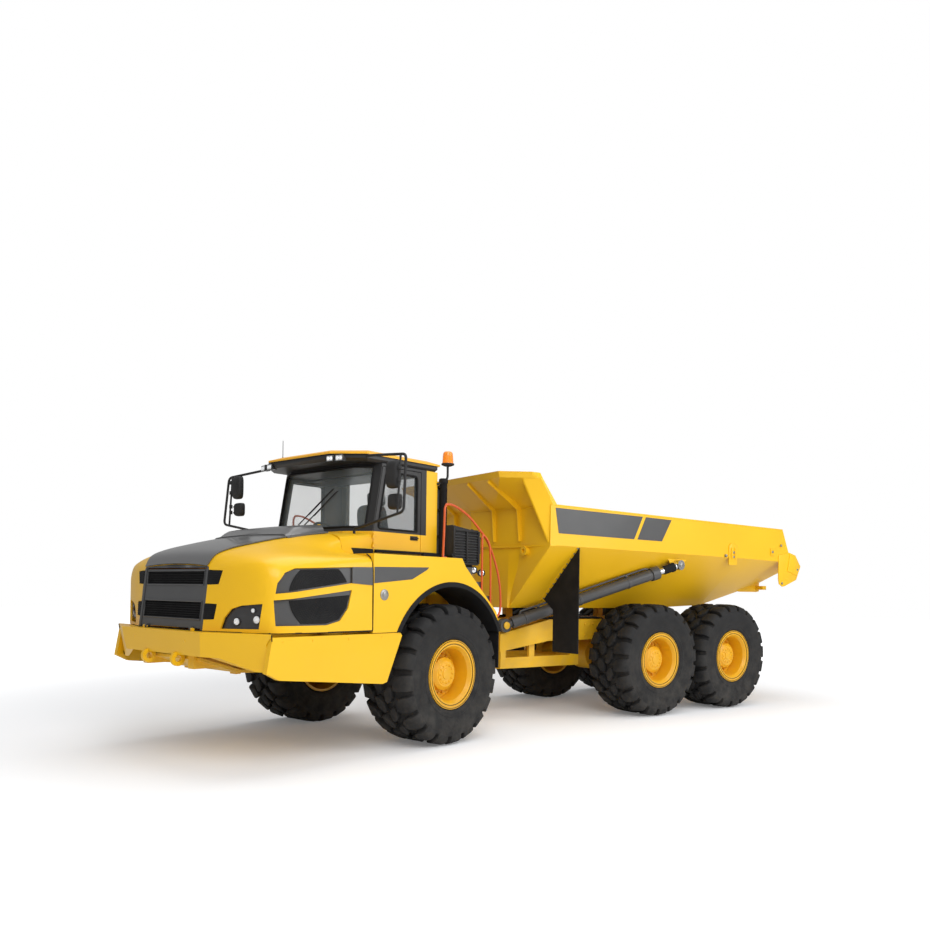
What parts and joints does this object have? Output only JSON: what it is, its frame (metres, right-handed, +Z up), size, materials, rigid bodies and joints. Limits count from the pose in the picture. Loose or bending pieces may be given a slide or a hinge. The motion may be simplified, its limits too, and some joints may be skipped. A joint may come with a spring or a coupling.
{
  "type": "articulated dump truck",
  "caption": "Articulated dump truck on three axles: hinged front unit with cab and lifting hood, rear frame with bogie wheels and a tipping load body.",
  "frame": {"origin": "on the ground, under the middle of the standing truck's outline", "axes": "+X towards the front along the rear unit, +Y to the truck's left, +Z up; the front unit stands turned 13.7 degrees to the left"},
  "size_m": [10.389, 3.7703, 3.452],
  "materials": {
    "yellow_paint": "gloss",
    "grey_paint": "satin",
    "black_plastic": "matte",
    "dark_panel": "satin",
    "tyre": "matte",
    "rubber": "matte",
    "glass": "gloss",
    "steel": "satin",
    "orange_paint": "gloss",
    "lamp": "gloss",
    "amber": "gloss",
    "seat_cloth": "matte"
  },
  "bodies": {
    "rear_unit_body": {"rear_frame": "yellow_paint", "bogie": "grey_paint"},
    "hitch_body": {"hitch": "yellow_paint"},
    "front_unit_body": {"front_frame": "grey_paint", "front_axle": "grey_paint", "engine": "grey_paint", "bumper": "yellow_paint", "side_panels": "yellow_paint", "fenders": "yellow_paint", "fender_trims": "rubber", "steps": "grey_paint", "handrails": "orange_paint", "cab_shell": "yellow_paint", "cowl": "yellow_paint", "cab_glass": "glass", "roof": "grey_paint", "seat": "seat_cloth", "console": "black_plastic", "mirrors": "black_plastic", "work_lights": "black_plastic", "beacon": "amber", "exhaust": "grey_paint", "rear_unit": "black_plastic"},
    "hood_body": {"hood": "yellow_paint", "headlights": "lamp", "side_screens": "dark_panel"},
    "grille_body": {"grille": "black_plastic"},
    "door_body": {"door": "grey_paint", "door_glass": "glass"},
    "load_body": {"dump_body": "yellow_paint", "mud_shields": "rubber"},
    "wheel_front_left": {"rim_front_left": "yellow_paint", "tyre_front_left": "tyre"},
    "wheel_front_right": {"rim_front_right": "yellow_paint", "tyre_front_right": "tyre"},
    "wheel_middle_left": {"rim_middle_left": "yellow_paint", "tyre_middle_left": "tyre"},
    "wheel_middle_right": {"rim_middle_right": "yellow_paint", "tyre_middle_right": "tyre"},
    "wheel_rear_left": {"rim_rear_left": "yellow_paint", "tyre_rear_left": "tyre"},
    "wheel_rear_right": {"rim_rear_right": "yellow_paint", "tyre_rear_right": "tyre"},
    "hoist_barrel_left_body": {"hoist_barrel_left": "dark_panel"},
    "hoist_rod_left_body": {"hoist_rod_left": "steel"},
    "steering_barrel_left_body": {"steering_barrel_left": "dark_panel"},
    "steering_rod_left_body": {"steering_rod_left": "steel"},
    "hoist_barrel_right_body": {"hoist_barrel_right": "dark_panel"},
    "hoist_rod_right_body": {"hoist_rod_right": "steel"},
    "steering_barrel_right_body": {"steering_barrel_right": "dark_panel"},
    "steering_rod_right_body": {"steering_rod_right": "steel"}
  },
  "joints": [
    {"name": "hitch_roll", "type": "hinge", "parent": "rear_unit_body", "child": "hitch_body", "pos_m": [0.59, -0.39, 0.93], "axis": [1, 0, 0], "range_deg": [-15, 15]},
    {"name": "steer", "type": "hinge", "parent": "hitch_body", "child": "front_unit_body", "pos_m": [1.15, -0.39, 0.93], "axis": [0, 0, 1], "range_deg": [-58.7, 31.3]},
    {"name": "tip", "type": "hinge", "parent": "rear_unit_body", "child": "load_body", "pos_m": [-3.95, -0.39, 1.5], "axis": [0, -1, 0], "range_deg": [0, 70]},
    {"name": "hood_lift", "type": "hinge", "parent": "front_unit_body", "child": "hood_body", "pos_m": [3.48172, 0.17841, 2.44], "axis": [0.2368, -0.9715, 0], "range_deg": [0, 90]},
    {"name": "grille_fold", "type": "hinge", "parent": "front_unit_body", "child": "grille_body", "pos_m": [4.92447, 0.53012, 1.345], "axis": [-0.2368, 0.9715, 0], "range_deg": [0, 90]},
    {"name": "door_swing", "type": "hinge", "parent": "front_unit_body", "child": "door_body", "pos_m": [2.80843, 0.92211, 2.6], "axis": [0, 0, -1], "range_deg": [0, 85]},
    {"name": "spin_front_left", "type": "hinge", "parent": "front_unit_body", "child": "wheel_front_left", "pos_m": [2.05818, 0.99345, 0.8], "axis": [-0.2368, 0.9715, 0], "continuous": true},
    {"name": "spin_front_right", "type": "hinge", "parent": "front_unit_body", "child": "wheel_front_right", "pos_m": [2.59296, -1.2003, 0.8], "axis": [-0.2368, 0.9715, 0], "continuous": true},
    {"name": "spin_middle_left", "type": "hinge", "parent": "rear_unit_body", "child": "wheel_middle_left", "pos_m": [-1.815, 0.739, 0.8], "axis": [0, 1, 0], "continuous": true},
    {"name": "spin_middle_right", "type": "hinge", "parent": "rear_unit_body", "child": "wheel_middle_right", "pos_m": [-1.815, -1.519, 0.8], "axis": [0, 1, 0], "continuous": true},
    {"name": "spin_rear_left", "type": "hinge", "parent": "rear_unit_body", "child": "wheel_rear_left", "pos_m": [-3.485, 0.739, 0.8], "axis": [0, 1, 0], "continuous": true},
    {"name": "spin_rear_right", "type": "hinge", "parent": "rear_unit_body", "child": "wheel_rear_right", "pos_m": [-3.485, -1.519, 0.8], "axis": [0, 1, 0], "continuous": true},
    {"name": "hoist_turn_left", "type": "hinge", "parent": "rear_unit_body", "child": "hoist_barrel_left_body", "pos_m": [0.38, 0.23, 1.29], "axis": [0.4206, 0.6577, 0.6249], "range_deg": [0, 9.59]},
    {"name": "hoist_stroke_left", "type": "slide", "parent": "hoist_barrel_left_body", "child": "hoist_rod_left_body", "axis": [-0.907, 0.2871, 0.3082], "range_m": [0, 2.0467]},
    {"name": "hoist_turn_right", "type": "hinge", "parent": "rear_unit_body", "child": "hoist_barrel_right_body", "pos_m": [0.38, -1.01, 1.29], "axis": [-0.4206, 0.6577, -0.6249], "range_deg": [0, 9.59]},
    {"name": "hoist_stroke_right", "type": "slide", "parent": "hoist_barrel_right_body", "child": "hoist_rod_right_body", "axis": [-0.907, -0.2871, 0.3082], "range_m": [0, 2.0467]},
    {"name": "steering_turn_left", "type": "hinge", "parent": "front_unit_body", "child": "steering_barrel_left_body", "pos_m": [1.92139, 0.45679, 0.926], "axis": [0, 0, 1], "range_deg": [-0.88, 1.64]},
    {"name": "steering_stroke_left", "type": "slide", "parent": "steering_barrel_left_body", "child": "steering_rod_left_body", "axis": [-0.8777, -0.4793, 0], "range_m": [-0.1969, 0.3688]},
    {"name": "steering_turn_right", "type": "hinge", "parent": "front_unit_body", "child": "steering_barrel_right_body", "pos_m": [2.22455, -0.7868, 0.926], "axis": [0, 0, 1], "range_deg": [-1.05, 0.56]},
    {"name": "steering_stroke_right", "type": "slide", "parent": "steering_barrel_right_body", "child": "steering_rod_right_body", "axis": [-0.9995, 0.0308, 0], "range_m": [-0.37, 0.1975]}
  ],
  "couplings": [
    {"joint": "hoist_turn_left", "follows": "tip", "ratio": 0.1368},
    {"joint": "hoist_stroke_left", "follows": "tip", "m_per_rad": 1.6744},
    {"joint": "hoist_turn_right", "follows": "tip", "ratio": 0.1368},
    {"joint": "hoist_stroke_right", "follows": "tip", "m_per_rad": 1.6744},
    {"joint": "steering_turn_left", "follows": "steer", "ratio": -0.027834},
    {"joint": "steering_stroke_left", "follows": "steer", "m_per_rad": -0.35946},
    {"joint": "steering_turn_right", "follows": "steer", "ratio": 0.01774},
    {"joint": "steering_stroke_right", "follows": "steer", "m_per_rad": 0.36069}
  ]
}
